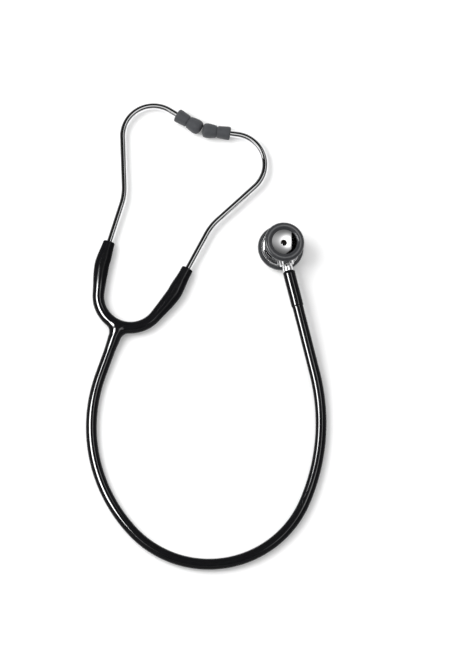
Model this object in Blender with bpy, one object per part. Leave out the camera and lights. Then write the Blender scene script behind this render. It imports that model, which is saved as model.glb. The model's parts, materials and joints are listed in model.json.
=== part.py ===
"""Dual-head stethoscope lying on a table, as separate named solids.

Metres, +Z up; the shapes are drawn in millimetres from the Y junction. +Y runs along
the headset towards the eartips. At the end everything is shifted so that the table is
the plane z = 0 and the origin is the middle of the footprint.
"""
import math

import bmesh
import bpy
from mathutils import Matrix, Vector

MM = 0.001
GAP = 0.3                # clearance between neighbouring pieces

# Heights above the table
HEADSET_HEIGHT = 6.1     # the eartips lie on the table
TUBE_HEIGHT = 4.5        # the chest tube lies on the table
STEM_HEIGHT = 11.9       # the chestpiece leans on the edge of its rim

# Soft Y tube and chest tube
TUBE_RADIUS = 4.5
TUBE_BORE = 2.25
NECK_RADIUS = 5.3
NECK_TAPER = 16.0
ARM_RADIUS = 4.85
ARM_BORE = 3.0
BULGE_RADIUS = 6.05
BULGE_BORE = 4.65
BULGE_SWELL = (30.0, 57.0)     # the arm grows to the bulge between these distances
BULGE_FALL = (61.0, 78.0)      # and shrinks to its mouth between these
CHAMBER = (54.0, 59.5, 67.0)   # start, full width and end of the clip chamber in an arm
SLEEVE_TOP_RADIUS = 4.85
SLEEVE_BORE = 3.15
SOCKET_RADIUS = 5.0      # tube end stretched over the stem
SOCKET_BORE = 3.4
SOCKET_LENGTH = 29.5

# Arms: each row is a length and a turn in degrees, from the junction outwards
ARM_ARC = 26.4
ARM_ARC_TURN = 74.0
ARM_STRAIGHT = 21.9
ARM_KINK_RADIUS = 25.0
ARM_KINK_TURN = 10.8
SLEEVE_TOP = {"left": 77.6, "right": 81.9}   # distance along each arm; one reaches further
ARM_HINGE_TURN = 50.0    # where the arm flexes, as an angle along the first arc
ARM_SPREAD = 30.0        # largest opening of one arm

# Ear tubes
EAR_OUTER = 2.85
EAR_BORE = 2.1
EAR_START = {"left": 59.6, "right": 62.4}
EAR_STRAIGHT = 52.4
EAR_LEAN_RADIUS = 45.0
EAR_LEAN_TURN = -19.6
EAR_MIDDLE = 41.2
EAR_BEND_RADIUS = 25.5
EAR_END = {"left": 6.9, "right": 6.2}   # straight end before the eartip
EAR_IN_TIP = 9.8
REACH = {"left": -2.2, "right": 1.4}          # added to the straight part of each tube
EAR_BEND_TURN = {"left": 123.6, "right": 130.0}

# Leaf spring and its crimped clips
STRIP_THICKNESS = 0.6
STRIP_HALF_WIDTH = 2.0
STRIP_END_HALF_WIDTH = 1.0
STRIP_END = 65.5
STRIP_TAPER = (53.0, 57.0)
STRIP_CROSSOVER = (55.0, 61.0)   # where the strip moves out to the side of the ear tube
STRIP_OFFSET = 1.6
STRIP_END_OFFSET = EAR_OUTER + GAP + STRIP_THICKNESS / 2
CLIP_SPAN = (61.4, 66.2)
CLIP_THICKNESS = 0.35

# Eartips
TIP_LENGTH = 23.3
TIP_COLLAR = 10.7
TIP_GROOVE = 0.8
TIP_RADIUS = 6.1
TIP_HOLE = 1.75

# Chest tube: straight, three arcs of growing and falling curvature, straight
TUBE_START = (0.7, -0.5)
TUBE_HEADING = -87.0
TUBE_PIECES = [(43.0, 0.0), (129.0, 62.0), (85.0, 114.5), (168.0, 37.5), (86.6, 0.0)]
FLEX_AT = [40.0, 140.0, 240.0, 340.0, 440.0]
FLEX_HALF_ANGLE = [20.0, 23.0, 20.0, 23.0, 20.0]
DROP_LENGTH = 55.0
RISE_START = 420.0

# Chestpiece, in its own frame: z along the head axis, the stem along -y
HEAD_ROLL = 9.0
HEAD_REACH = 22.5        # head axis to the end of the tube
BOSS_HALF_WIDTH = 6.1
BOSS_HALF_HEIGHT = 4.7
BOSS_LENGTH = 17.0
SHANK = 4.25
JOURNAL = 2.9
JOURNAL_BORE = 3.2
CHANNEL = 1.3
RING_GROOVE = (-14.4, -13.0)
ORING_GROOVE = (-9.6, -8.3)
DETENT_TRACK = (-5.0, -3.0)
DETENT_Y = -4.0
DETENT_HEIGHT = 3.4
BALL_RADIUS = 0.9
BELL_LIP_TOP = 12.8
BELL_HOLE = 2.4          # sound hole in the middle of the dish
BELL_FLOOR = 10.6        # height of the dish at the axis
BELL_FLOOR_CURVE = 35.0  # radius of curvature at the axis
BELL_FLOOR_STOPS = (BELL_HOLE, 4.5, 6.5, 8.5, 10.7)
RIM_RADIUS = 18.9

SOFT_SIDES = 12
EAR_SIDES = 12
TIP_SIDES = 18
HEAD_SIDES = 32
SMALL_SIDES = 16


def clear_scene():
    for item in list(bpy.data.objects):
        bpy.data.objects.remove(item, do_unlink=True)


def finish(name, rgb, metallic, roughness):
    material = bpy.data.materials.new(name)
    material.use_nodes = True
    shader = material.node_tree.nodes["Principled BSDF"]
    shader.inputs["Base Color"].default_value = (*rgb, 1.0)
    shader.inputs["Metallic"].default_value = metallic
    shader.inputs["Roughness"].default_value = roughness
    return material


def black_rubber(name):
    return finish(name, (0.012, 0.012, 0.014), 0.0, 0.3)


def grey_rubber(name):
    return finish(name, (0.07, 0.07, 0.078), 0.0, 0.6)


def chrome(name):
    return finish(name, (0.82, 0.82, 0.83), 1.0, 0.08)


def spring_steel(name):
    return finish(name, (0.5, 0.5, 0.52), 1.0, 0.3)


# Meshes from rings

def ring_mesh(rings, wrapped):
    """Joins rings of points in order; wrapped rings close on the first, open chains get end caps."""
    sides = max(len(ring) for ring in rings)
    verts = [point for ring in rings for point in ring]
    starts = []
    count = 0
    for ring in rings:
        starts.append(count)
        count += len(ring)
    faces = []
    total = len(rings)
    for index in range(total if wrapped else total - 1):
        after = (index + 1) % total
        for k in range(sides):
            a = starts[index] + k % len(rings[index])
            b = starts[index] + (k + 1) % len(rings[index])
            c = starts[after] + (k + 1) % len(rings[after])
            d = starts[after] + k % len(rings[after])
            faces.append(tuple(dict.fromkeys((a, b, c, d))))
    if not wrapped:
        for start, ring in ((starts[0], rings[0]), (starts[-1], rings[-1])):
            if len(ring) > 1:
                faces.append(tuple(range(start, start + len(ring))))
    return verts, faces


def lathe(profile, sides, wrapped=False):
    """Turns (radius, height) points about z. A radius of 0 becomes one point."""
    rings = []
    for radius, height in profile:
        if radius == 0:
            rings.append([Vector((0, 0, height))])
        else:
            rings.append([
                Vector((radius * math.cos(a), radius * math.sin(a), height))
                for a in (2 * math.pi * k / sides for k in range(sides))
            ])
    return ring_mesh(rings, wrapped)


def arc(centre, radius, start, end, steps):
    """Points of a circular arc in a profile, angles in degrees."""
    points = []
    for k in range(steps + 1):
        angle = math.radians(start + (end - start) * k / steps)
        points.append((centre[0] + radius * math.cos(angle), centre[1] + radius * math.sin(angle)))
    return points


def solid(name, shape, material, origin, place=None):
    """One closed body in millimetres, placed, with its object origin at origin."""
    verts, faces = shape
    place = place or Matrix.Identity(4)
    origin = Vector(origin)
    placed = [((place @ Vector(point)) - origin) * MM for point in verts]
    mesh = bpy.data.meshes.new(name)
    mesh.from_pydata(placed, [], faces)
    work = bmesh.new()
    work.from_mesh(mesh)
    bmesh.ops.recalc_face_normals(work, faces=work.faces)
    work.to_mesh(mesh)
    work.free()
    body = bpy.data.objects.new(name, mesh)
    body.location = origin * MM
    bpy.context.scene.collection.objects.link(body)
    body.data.materials.append(material)
    return body


def smooth(body, angle=35.0):
    body.data.shade_smooth()
    body.data.set_sharp_from_angle(angle=math.radians(angle))


def combine(body, shape, operation, place=None):
    """Adds or cuts one shape and keeps the result as the body's mesh."""
    material = body.data.materials[0]
    tool = solid("tool", shape, material, (0, 0, 0), place)
    modifier = body.modifiers.new("combine", "BOOLEAN")
    modifier.operation = operation
    modifier.solver = "EXACT"
    modifier.object = tool
    bpy.context.view_layer.update()
    graph = bpy.context.evaluated_depsgraph_get()
    result = bpy.data.meshes.new_from_object(body.evaluated_get(graph))
    body.modifiers.clear()
    body.data = result
    bpy.data.objects.remove(tool, do_unlink=True)


# Paths in plan

def walk(pieces, start, heading, distance):
    """Point and heading at a distance along (length, turn) pieces; past the end it runs straight."""
    x, y = start
    angle = math.radians(heading)
    left = distance
    for length, turn in pieces:
        step = min(left, length)
        bend = math.radians(turn) * step / length
        chord = step if abs(bend) < 1e-9 else step * math.sin(bend / 2) / (bend / 2)
        x += chord * math.cos(angle + bend / 2)
        y += chord * math.sin(angle + bend / 2)
        angle += bend
        left -= step
        if left <= 0:
            return x, y, angle
    return x + left * math.cos(angle), y + left * math.sin(angle), angle


def bend_piece(radius, turn):
    return radius * math.radians(abs(turn)), turn


def arm_pieces():
    return [
        bend_piece(ARM_ARC, ARM_ARC_TURN),
        (ARM_STRAIGHT, 0.0),
        bend_piece(ARM_KINK_RADIUS, ARM_KINK_TURN),
    ]


def ear_pieces(side):
    return arm_pieces() + [
        (EAR_STRAIGHT + REACH[side], 0.0),
        bend_piece(EAR_LEAN_RADIUS, EAR_LEAN_TURN),
        (EAR_MIDDLE, 0.0),
        bend_piece(EAR_BEND_RADIUS, EAR_BEND_TURN[side]),
        (EAR_END[side], 0.0),
    ]


def chest_pieces():
    return [
        (size, turn) if turn == 0 else bend_piece(size, turn)
        for size, turn in TUBE_PIECES
    ]


def path_length(pieces):
    return sum(length for length, _ in pieces)


def ease(value):
    value = min(max(value, 0.0), 1.0)
    return value * value * (3 - 2 * value)


def ramp(value, span):
    """Eases from 0 to 1 across a span."""
    return ease((value - span[0]) / (span[1] - span[0]))


def chest_height(distance):
    rise_end = path_length(chest_pieces()) - SOCKET_LENGTH
    drop = (HEADSET_HEIGHT - TUBE_HEIGHT) * (1 - ease(distance / DROP_LENGTH))
    rise = (STEM_HEIGHT - TUBE_HEIGHT) * ease((distance - RISE_START) / (rise_end - RISE_START))
    return TUBE_HEIGHT + drop + rise


class Station:
    """A point on a centreline with its forward, left and up directions."""

    def __init__(self, x, y, z, heading, slope=0.0):
        self.point = Vector((x, y, z))
        self.forward = Vector((math.cos(heading), math.sin(heading), slope)).normalized()
        self.left = Vector((-math.sin(heading), math.cos(heading), 0.0))
        self.up = self.forward.cross(self.left)

    def at(self, left, up):
        return self.point + left * self.left + up * self.up

    def circle(self, radius, sides):
        return [
            self.at(radius * math.cos(a), radius * math.sin(a))
            for a in (2 * math.pi * k / sides for k in range(sides))
        ]

    def frame(self):
        """Matrix whose z runs forward and whose y runs up."""
        across = self.up.cross(self.forward)
        turn = Matrix((across, self.up, self.forward)).transposed().to_4x4()
        return Matrix.Translation(self.point) @ turn


def mirrored(station, side):
    if side == "right":
        return station
    heading = math.pi - math.atan2(station.forward.y, station.forward.x)
    return Station(-station.point.x, station.point.y, station.point.z, heading)


def chest_station(distance):
    x, y, heading = walk(chest_pieces(), TUBE_START, TUBE_HEADING, distance)
    step = 0.5
    slope = (chest_height(distance + step) - chest_height(distance - step)) / (2 * step)
    return Station(x, y, chest_height(distance), heading, slope)


def arm_station(distance, side="right"):
    x, y, heading = walk(arm_pieces(), (0, 0), 0.0, distance)
    return mirrored(Station(x, y, HEADSET_HEIGHT, heading), side)


def strip_station(distance):
    """Station on the whole U, from the left end (negative) to the right end."""
    x, y, heading = walk(arm_pieces(), (0, 0), 0.0, abs(distance))
    sign = -1 if distance < 0 else 1
    return Station(sign * x, y, HEADSET_HEIGHT, sign * heading)


def ear_station(distance, side):
    x, y, heading = walk(ear_pieces(side), (0, 0), 0.0, distance)
    return mirrored(Station(x, y, HEADSET_HEIGHT, heading), side)


def spread(start, end, step):
    count = max(1, math.ceil((end - start) / step))
    return [start + (end - start) * k / count for k in range(count + 1)]


def tube_rings(station, outer, inner, sides):
    """Closed loop of rings for a hollow tube; outer and inner are (distance, radius) lists."""
    shell = [station(distance).circle(radius, sides) for distance, radius in outer]
    hole = [station(distance).circle(radius, sides) for distance, radius in reversed(inner)]
    return ring_mesh(shell + hole, wrapped=True)


def end_gap(radius, half_angle):
    """Half of the clearance at a flexing cut, growing with the radius like two facing cones."""
    return GAP / 2 + radius * math.tan(math.radians(half_angle))


# Headset

def arm_outer(distance):
    """Outside radius of an arm along its length."""
    into_bulge = ramp(distance, BULGE_SWELL)
    out_of_bulge = ramp(distance, BULGE_FALL)
    radius = ARM_RADIUS + (BULGE_RADIUS - ARM_RADIUS) * into_bulge
    return radius + (SLEEVE_TOP_RADIUS - BULGE_RADIUS) * out_of_bulge


def arm_bore(distance):
    """Inside radius: spring bore, clip chamber, then the ear tube socket."""
    start, full, end = CHAMBER
    if distance < start:
        return ARM_BORE
    if distance < end:
        return ARM_BORE + (BULGE_BORE - ARM_BORE) * min(1.0, (distance - start) / (full - start))
    return SLEEVE_BORE


def arm_hinge_distance():
    return ARM_ARC * math.radians(ARM_HINGE_TURN)


def neck_radius(distance):
    return TUBE_RADIUS + (NECK_RADIUS - TUBE_RADIUS) * (1 - ease(distance / NECK_TAPER))


def make_y_tube():
    """Root piece: the middle of the U, its neck and the start of the chest tube."""
    material = black_rubber("y_tube_black")
    reach = arm_hinge_distance()
    half = ARM_SPREAD / 2
    outer_end = reach - end_gap(ARM_RADIUS, half)
    inner_end = reach - end_gap(ARM_BORE, half)
    arms = [strip_station(d).circle(ARM_RADIUS, SOFT_SIDES) for d in spread(-outer_end, outer_end, 3.6)]
    body = solid("y_tube", ring_mesh(arms, wrapped=False), material, (0, 0, 0))
    neck_end = FLEX_AT[0] - end_gap(TUBE_RADIUS, FLEX_HALF_ANGLE[0])
    stops = [0.4, 4, 8, 12, 16, 26, neck_end]
    neck = [chest_station(d).circle(neck_radius(d), SOFT_SIDES) for d in stops]
    combine(body, ring_mesh(neck, wrapped=False), "UNION")
    overrun = 1.0
    stretch = spread(-inner_end, inner_end, 3.6)
    bore = [strip_station(d).circle(ARM_BORE, SOFT_SIDES) for d in stretch]
    bore.insert(0, strip_station(-inner_end - overrun).circle(ARM_RADIUS + overrun, SOFT_SIDES))
    bore.append(strip_station(inner_end + overrun).circle(ARM_RADIUS + overrun, SOFT_SIDES))
    combine(body, ring_mesh(bore, wrapped=False), "DIFFERENCE")
    tail = FLEX_AT[0] - end_gap(TUBE_BORE, FLEX_HALF_ANGLE[0])
    canal = [chest_station(d).circle(TUBE_BORE, SOFT_SIDES) for d in (1.0, 12, 26, tail)]
    canal.append(chest_station(FLEX_AT[0] + overrun).circle(TUBE_RADIUS + 2 * overrun, SOFT_SIDES))
    combine(body, ring_mesh(canal, wrapped=False), "DIFFERENCE")
    smooth(body)
    return body


def arm_hinge(side):
    return arm_station(arm_hinge_distance(), side).point


def make_sleeve(side):
    """One arm of the Y tube, from its flexing cut to the mouth that holds the ear tube."""
    start = arm_hinge_distance()
    half = ARM_SPREAD / 2
    lip = 1.0
    top = SLEEVE_TOP[side]
    bend = 34.0
    outer_stops = [start + end_gap(ARM_RADIUS, half)] + spread(bend, top - lip, 4.6)
    outer = [(d, arm_outer(d)) for d in outer_stops]
    outer.append((top, SLEEVE_TOP_RADIUS - 0.5))
    step = 0.1
    inner_stops = [start + end_gap(ARM_BORE, half), bend, CHAMBER[0], CHAMBER[1], CHAMBER[2] - step]
    inner = [(d, arm_bore(d)) for d in inner_stops]
    inner += [(CHAMBER[2] + step, SLEEVE_BORE), (top, SLEEVE_BORE)]
    shape = tube_rings(lambda d: arm_station(d, side), outer, inner, SOFT_SIDES)
    body = solid(f"{side}_sleeve", shape, black_rubber(f"{side}_sleeve_black"), arm_hinge(side))
    smooth(body)
    return body


def strip_offset(distance):
    return STRIP_OFFSET + (STRIP_END_OFFSET - STRIP_OFFSET) * ramp(abs(distance), STRIP_CROSSOVER)


def strip_half_width(distance):
    return STRIP_HALF_WIDTH + (STRIP_END_HALF_WIDTH - STRIP_HALF_WIDTH) * ramp(abs(distance), STRIP_TAPER)


def make_leaf_spring():
    """The bent steel strip that pulls both arms together."""
    rings = []
    wide_end = STRIP_TAPER[0]
    ends = spread(wide_end, STRIP_END, 2.1)
    stops = [-d for d in reversed(ends)] + spread(-wide_end, wide_end, 5.3)[1:-1] + ends
    for distance in stops:
        station = strip_station(distance)
        middle = strip_offset(distance)
        near = middle - STRIP_THICKNESS / 2
        far = middle + STRIP_THICKNESS / 2
        wide = strip_half_width(distance)
        corners = ((near, -wide), (far, -wide), (far, wide), (near, wide))
        rings.append([station.at(across, up) for across, up in corners])
    return solid("leaf_spring", ring_mesh(rings, wrapped=False), spring_steel("leaf_spring_steel"), (0, 0, 0))


def turn_of(a, b, c):
    return (b[0] - a[0]) * (c[1] - a[1]) - (b[1] - a[1]) * (c[0] - a[0])


def hull(points):
    """Convex outline of points, anticlockwise."""
    ordered = sorted(points)
    outline = []
    for row in (ordered, ordered[::-1]):
        chain = []
        for point in row:
            while len(chain) > 1 and turn_of(chain[-2], chain[-1], point) <= 0:
                chain.pop()
            chain.append(point)
        outline += chain[:-1]
    return outline


def clip_outline(clearance):
    """Cross-section around the ear tube and the strip lying beside it."""
    far = STRIP_END_OFFSET + STRIP_THICKNESS / 2
    points = arc((0, 0), EAR_OUTER + clearance, 60, 300, 12)
    for sign in (-1, 1):
        points += arc((far, sign * STRIP_END_HALF_WIDTH), clearance, -90, 90, 4)
    return hull(points)


def make_spring_clip(side):
    """Crimped band that ties the end of the leaf spring to the ear tube."""
    inner = clip_outline(GAP)
    outer = clip_outline(GAP + CLIP_THICKNESS)
    turned = 1 if side == "right" else -1
    rings = []
    for outline, distance in zip((outer, outer, inner, inner), CLIP_SPAN + CLIP_SPAN[::-1]):
        station = arm_station(distance, side)
        rings.append([station.at(turned * across, up) for across, up in outline])
    name = f"{side}_spring_clip"
    return solid(name, ring_mesh(rings, wrapped=True), spring_steel(f"{name}_steel"), arm_hinge(side))


def ear_turn_point(side):
    return ear_station(SLEEVE_TOP[side], side).point


def make_ear_tube(side):
    """Bent chrome tube from the sleeve into the eartip."""
    pieces = ear_pieces(side)
    end = path_length(pieces) + EAR_IN_TIP
    marks = [EAR_START[side]]
    done = 0.0
    fine = 11.0
    for length, turn in pieces:
        steps = max(1, round(abs(turn) / fine))
        marks += [done + length * k / steps for k in range(1, steps + 1)]
        done += length
    marks = [m for m in marks if m >= EAR_START[side]] + [end]
    mouth = 0.5
    outer = [(m, EAR_OUTER) for m in marks[:-1]] + [(end - mouth, EAR_OUTER), (end, EAR_OUTER - mouth)]
    inner = [(m, EAR_BORE) for m in marks]
    shape = tube_rings(lambda d: ear_station(d, side), outer, inner, EAR_SIDES)
    body = solid(f"{side}_ear_tube", shape, chrome(f"{side}_ear_tube_chrome"), ear_turn_point(side))
    smooth(body)
    return body


def tip_station(side):
    return ear_station(path_length(ear_pieces(side)), side)


def make_eartip(side):
    """Soft tip: a flared collar, a groove and a rounded dome with the sound hole."""
    collar_end = TIP_COLLAR
    dome_start = TIP_COLLAR + TIP_GROOVE
    pocket = 4.45
    front = (TIP_HOLE + 0.5, TIP_LENGTH)
    dome_centre = 19.6
    dome = []
    dome_steps = 4
    for k in range(dome_steps + 1):
        angle = math.radians(90 * k / dome_steps)
        flat = front[0] + (TIP_RADIUS - front[0]) * math.cos(angle)
        dome.append((flat, dome_centre + (TIP_LENGTH - dome_centre) * math.sin(angle)))
    profile = [
        (EAR_OUTER + GAP, 0.0), (5.2, 0.0), (5.65, 0.6), (5.05, 10.0), (4.6, collar_end),
        (4.25, collar_end), (4.25, dome_start), (4.8, dome_start), (5.3, 12.4), (5.75, 16.0),
    ]
    profile += dome
    profile += [(TIP_HOLE, TIP_LENGTH - 0.5), (TIP_HOLE, 12.2), (3.4, 10.6), (pocket, 10.1), (pocket, 0.9),
                (EAR_OUTER + GAP, 0.9)]
    shape = lathe(profile, TIP_SIDES, wrapped=True)
    station = tip_station(side)
    body = solid(f"{side}_eartip", shape, grey_rubber(f"{side}_eartip_grey"), station.point, station.frame())
    smooth(body, 40)
    return body


def make_tip_insert(side):
    """Stiff bush inside the collar that grips the end of the ear tube."""
    inside = EAR_OUTER + 0.15
    profile = [(inside, 1.2), (4.1, 1.2)]
    for k in range(2):
        ridge = 3.0 + 3.0 * k
        profile += [(4.1, ridge), (3.8, ridge + 0.2), (3.8, ridge + 1.2), (4.1, ridge + 1.4)]
    profile += [(4.1, 9.6), (inside, 9.6)]
    station = tip_station(side)
    name = f"{side}_eartip_insert"
    material = finish(f"{name}_plastic", (0.6, 0.6, 0.58), 0.0, 0.45)
    body = solid(name, lathe(profile, EAR_SIDES, wrapped=True), material, station.point, station.frame())
    smooth(body)
    return body


# Chest tube

def make_tube(index):
    """One length of the chest tube between two flexing cuts; the last one is stretched over the stem."""
    start = FLEX_AT[index]
    lead = FLEX_HALF_ANGLE[index]
    last = index == len(FLEX_AT) - 1
    step = 12.0
    first_outer = start + end_gap(TUBE_RADIUS, lead)
    first_inner = start + end_gap(TUBE_BORE, lead)
    if last:
        total = path_length(chest_pieces())
        shoulder = total - SOCKET_LENGTH
        edge = 0.4
        outer = [(d, TUBE_RADIUS) for d in spread(first_outer, shoulder - edge, step)]
        outer += [(shoulder, SOCKET_RADIUS), (total - edge, SOCKET_RADIUS), (total, SOCKET_RADIUS - edge)]
        inner = [(d, TUBE_BORE) for d in spread(first_inner, shoulder - edge, step)]
        inner += [(shoulder, SOCKET_BORE), (total, SOCKET_BORE)]
    else:
        end = FLEX_AT[index + 1]
        trail = FLEX_HALF_ANGLE[index + 1]
        outer = [(d, TUBE_RADIUS) for d in spread(first_outer, end - end_gap(TUBE_RADIUS, trail), step)]
        inner = [(d, TUBE_BORE) for d in spread(first_inner, end - end_gap(TUBE_BORE, trail), step)]
    name = f"tube_{index + 1}"
    shape = tube_rings(chest_station, outer, inner, SOFT_SIDES)
    body = solid(name, shape, black_rubber(f"{name}_black"), chest_station(start).point)
    smooth(body)
    return body


# Chestpiece

def head_place():
    """Matrix from the chestpiece's own frame to the table."""
    end = chest_station(path_length(chest_pieces()))
    heading = math.atan2(end.forward.y, end.forward.x)
    centre = end.point + HEAD_REACH * end.forward
    turn = Matrix.Rotation(heading - math.pi / 2, 4, "Z")
    roll = Matrix.Rotation(math.radians(HEAD_ROLL), 4, "Y")
    return Matrix.Translation(centre) @ turn @ roll


def along_stem():
    """Matrix that lays a turned shape's axis along the stem, pointing into the head."""
    return head_place() @ Matrix.Rotation(-math.pi / 2, 4, "X")


def head_origin():
    return head_place().translation


def ellipse_rod(half_width, half_height, start, end, sides):
    """Rod along y in the chestpiece frame."""
    rings = []
    for y in (start, end):
        rings.append([
            Vector((half_width * math.cos(a), y, half_height * math.sin(a)))
            for a in (2 * math.pi * k / sides for k in range(sides))
        ])
    return ring_mesh(rings, wrapped=False)


def bell_floor(radius):
    """Height of the bell's shallow dish."""
    return BELL_FLOOR + radius ** 2 / (2 * BELL_FLOOR_CURVE)


def make_chestpiece():
    """Turned metal head: open bell above, shallow diaphragm cup below, boss for the stem."""
    profile = [(0, 4.6), (BELL_HOLE, 4.6)] + [(r, bell_floor(r)) for r in BELL_FLOOR_STOPS]
    profile += [(11.2, BELL_LIP_TOP)]
    profile += [(13.6, BELL_LIP_TOP), (13.6, 11.6), (12.4, 11.4)]
    profile += [(10.4, 9.3), (8.6, 6.8), (7.3, 3.8), (6.9, 1.2)]
    profile += [(7.3, -1.2), (9.0, -3.5), (12.4, -4.8), (17.2, -5.75)]
    profile += [(17.5, -6.0), (17.5, -7.6), (15.9, -7.6), (15.5, -7.0), (3.0, -5.9), (0, -5.9)]
    place = head_place()
    body = solid("chestpiece", lathe(profile, HEAD_SIDES), chrome("chestpiece_chrome"), head_origin(), place)
    boss = ellipse_rod(BOSS_HALF_WIDTH, BOSS_HALF_HEIGHT, -BOSS_LENGTH, 0.0, SMALL_SIDES)
    combine(body, boss, "UNION", place)
    groove = 3.95
    mouth = 3.6
    bore = [
        (0, -BOSS_LENGTH - 1), (mouth, -BOSS_LENGTH - 1), (mouth, -BOSS_LENGTH),
        (JOURNAL_BORE, -BOSS_LENGTH + 0.5), (JOURNAL_BORE, RING_GROOVE[0]), (groove, RING_GROOVE[0]),
        (groove, RING_GROOVE[1]), (JOURNAL_BORE, RING_GROOVE[1]), (JOURNAL_BORE, 5.0), (0, 5.0),
    ]
    combine(body, lathe(bore, SMALL_SIDES), "DIFFERENCE", along_stem())
    channel = [(0, -7.0), (CHANNEL, -7.0), (CHANNEL, 6.0), (0, 6.0)]
    combine(body, lathe(channel, 12), "DIFFERENCE", place)
    pocket = [(0, 2.6), (BALL_RADIUS + 0.2, 2.6), (BALL_RADIUS + 0.2, 5.6), (0, 5.6)]
    combine(body, lathe(pocket, 12), "DIFFERENCE", place @ Matrix.Translation((0, DETENT_Y, 0)))
    smooth(body)
    return body


def make_bell_ring():
    """Soft ring clipped round the lip of the bell."""
    profile = [(10.35, 13.4), (10.5, 13.15), (13.9, 13.15), (13.95, 11.3), (12.8, 10.9), (13.3, 10.4)]
    profile += [(14.6, 10.5)]
    profile += arc((13.9, 12.45), 2.6, -45, 75, 5)
    profile += [(13.2, 15.1), (11.8, 14.95), (10.8, 14.4), (10.4, 13.8)]
    shape = lathe(profile, HEAD_SIDES, wrapped=True)
    body = solid("bell_ring", shape, grey_rubber("bell_ring_grey"), head_origin(), head_place())
    smooth(body, 50)
    return body


def make_diaphragm():
    """Thin sheet with one pressed ring near its edge."""
    face = -8.3
    back = -7.95
    edge = 17.2
    ring = 13.2
    half = 0.7
    depth = 0.12
    profile = [(0, face), (ring - half, face), (ring, face - depth), (ring + half, face), (edge, face)]
    profile += [(edge, back), (ring + half, back), (ring, back - depth), (ring - half, back), (0, back)]
    material = finish("diaphragm_white", (0.7, 0.7, 0.68), 0.0, 0.35)
    body = solid("diaphragm", lathe(profile, HEAD_SIDES), material, head_origin(), head_place())
    smooth(body)
    return body


def make_rim():
    """Soft rim that holds the diaphragm on the edge of the cup."""
    profile = [(16.1, -8.65), (16.2, -9.1), (17.9, -9.1), (18.7, -8.4)]
    profile += [(RIM_RADIUS, -7.1), (18.7, -5.8), (17.9, -5.05), (16.9, -4.9)]
    profile += [(16.5, -5.28), (17.8, -5.6), (17.8, -8.6)]
    shape = lathe(profile, HEAD_SIDES, wrapped=True)
    body = solid("diaphragm_rim", shape, grey_rubber("diaphragm_rim_grey"), head_origin(), head_place())
    smooth(body, 50)
    return body


def make_stem():
    """Turned stem: barbed tail in the tube, visible shank, grooved journal in the head."""
    tail_end = -HEAD_REACH - SOCKET_LENGTH + 1.0
    barb = 2.95
    root = 2.75
    profile = [(0, 1.6), (CHANNEL, 1.6), (CHANNEL, tail_end), (root - 0.5, tail_end)]
    for k in range(2):
        foot = tail_end + 1.0 + 4.5 * k
        profile += [(root, foot), (barb, foot + 3.0), (root, foot + 3.3)]
    profile += [(root, -25.0), (barb, -24.0), (barb, -HEAD_REACH - 0.2), (3.6, -HEAD_REACH + 0.3)]
    profile += [(SHANK, -HEAD_REACH + 0.7), (SHANK, -BOSS_LENGTH - 0.7), (SHANK - 0.35, -BOSS_LENGTH - GAP)]
    profile += [(JOURNAL, -BOSS_LENGTH - GAP)]
    for (start, end), floor in ((RING_GROOVE, 2.3), (ORING_GROOVE, 2.0), (DETENT_TRACK, 2.4)):
        profile += [(JOURNAL, start), (floor, start), (floor, end), (JOURNAL, end)]
    profile += [(JOURNAL, 3.6), (2.6, 4.0), (0, 4.0)]
    place = along_stem()
    body = solid("stem", lathe(profile, SMALL_SIDES), chrome("stem_chrome"), head_origin(), place)
    port = [(0, -4.5), (1.0, -4.5), (1.0, 0.0), (0, 0.0)]
    combine(body, lathe(port, 10), "DIFFERENCE", head_place())
    for sign in (1, -1):
        dimple = arc((0, 0), 1.15, -90, 90, 4)
        dimple[0] = (0, dimple[0][1])
        dimple[-1] = (0, dimple[-1][1])
        spot = Matrix.Translation((0, DETENT_Y, sign * DETENT_HEIGHT))
        combine(body, lathe(dimple, 8), "DIFFERENCE", head_place() @ spot)
    smooth(body)
    return body


def torus(ring_radius, wire_radius, height, around, across):
    profile = arc((ring_radius, height), wire_radius, 0, 360, across)[:-1]
    return lathe(profile, around, wrapped=True)


def make_oring():
    shape = torus(2.6, 0.4, sum(ORING_GROOVE) / 2, SMALL_SIDES, 6)
    body = solid("stem_o_ring", shape, black_rubber("stem_o_ring_black"), head_origin(), along_stem())
    smooth(body, 80)
    return body


def make_retaining_ring():
    """Split ring that sits half in the stem and half in the boss."""
    inner, outer = 2.6, 3.7
    low = RING_GROOVE[0] + 0.3
    high = RING_GROOVE[1] - 0.3
    opening = 50.0
    steps = 16
    rings = []
    for k in range(steps + 1):
        angle = math.radians(opening / 2 + (360 - opening) * k / steps)
        section = ((inner, low), (outer, low), (outer, high), (inner, high))
        rings.append([Vector((r * math.cos(angle), r * math.sin(angle), h)) for r, h in section])
    material = spring_steel("stem_retaining_ring_steel")
    shape = ring_mesh(rings, wrapped=False)
    return solid("stem_retaining_ring", shape, material, head_origin(), along_stem())


def make_detent_ball():
    profile = arc((0, DETENT_HEIGHT), BALL_RADIUS, -90, 90, 6)
    profile[0] = (0, profile[0][1])
    profile[-1] = (0, profile[-1][1])
    place = head_place() @ Matrix.Translation((0, DETENT_Y, 0))
    body = solid("detent_ball", lathe(profile, 12), spring_steel("detent_ball_steel"), head_origin(), place)
    smooth(body, 80)
    return body


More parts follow.
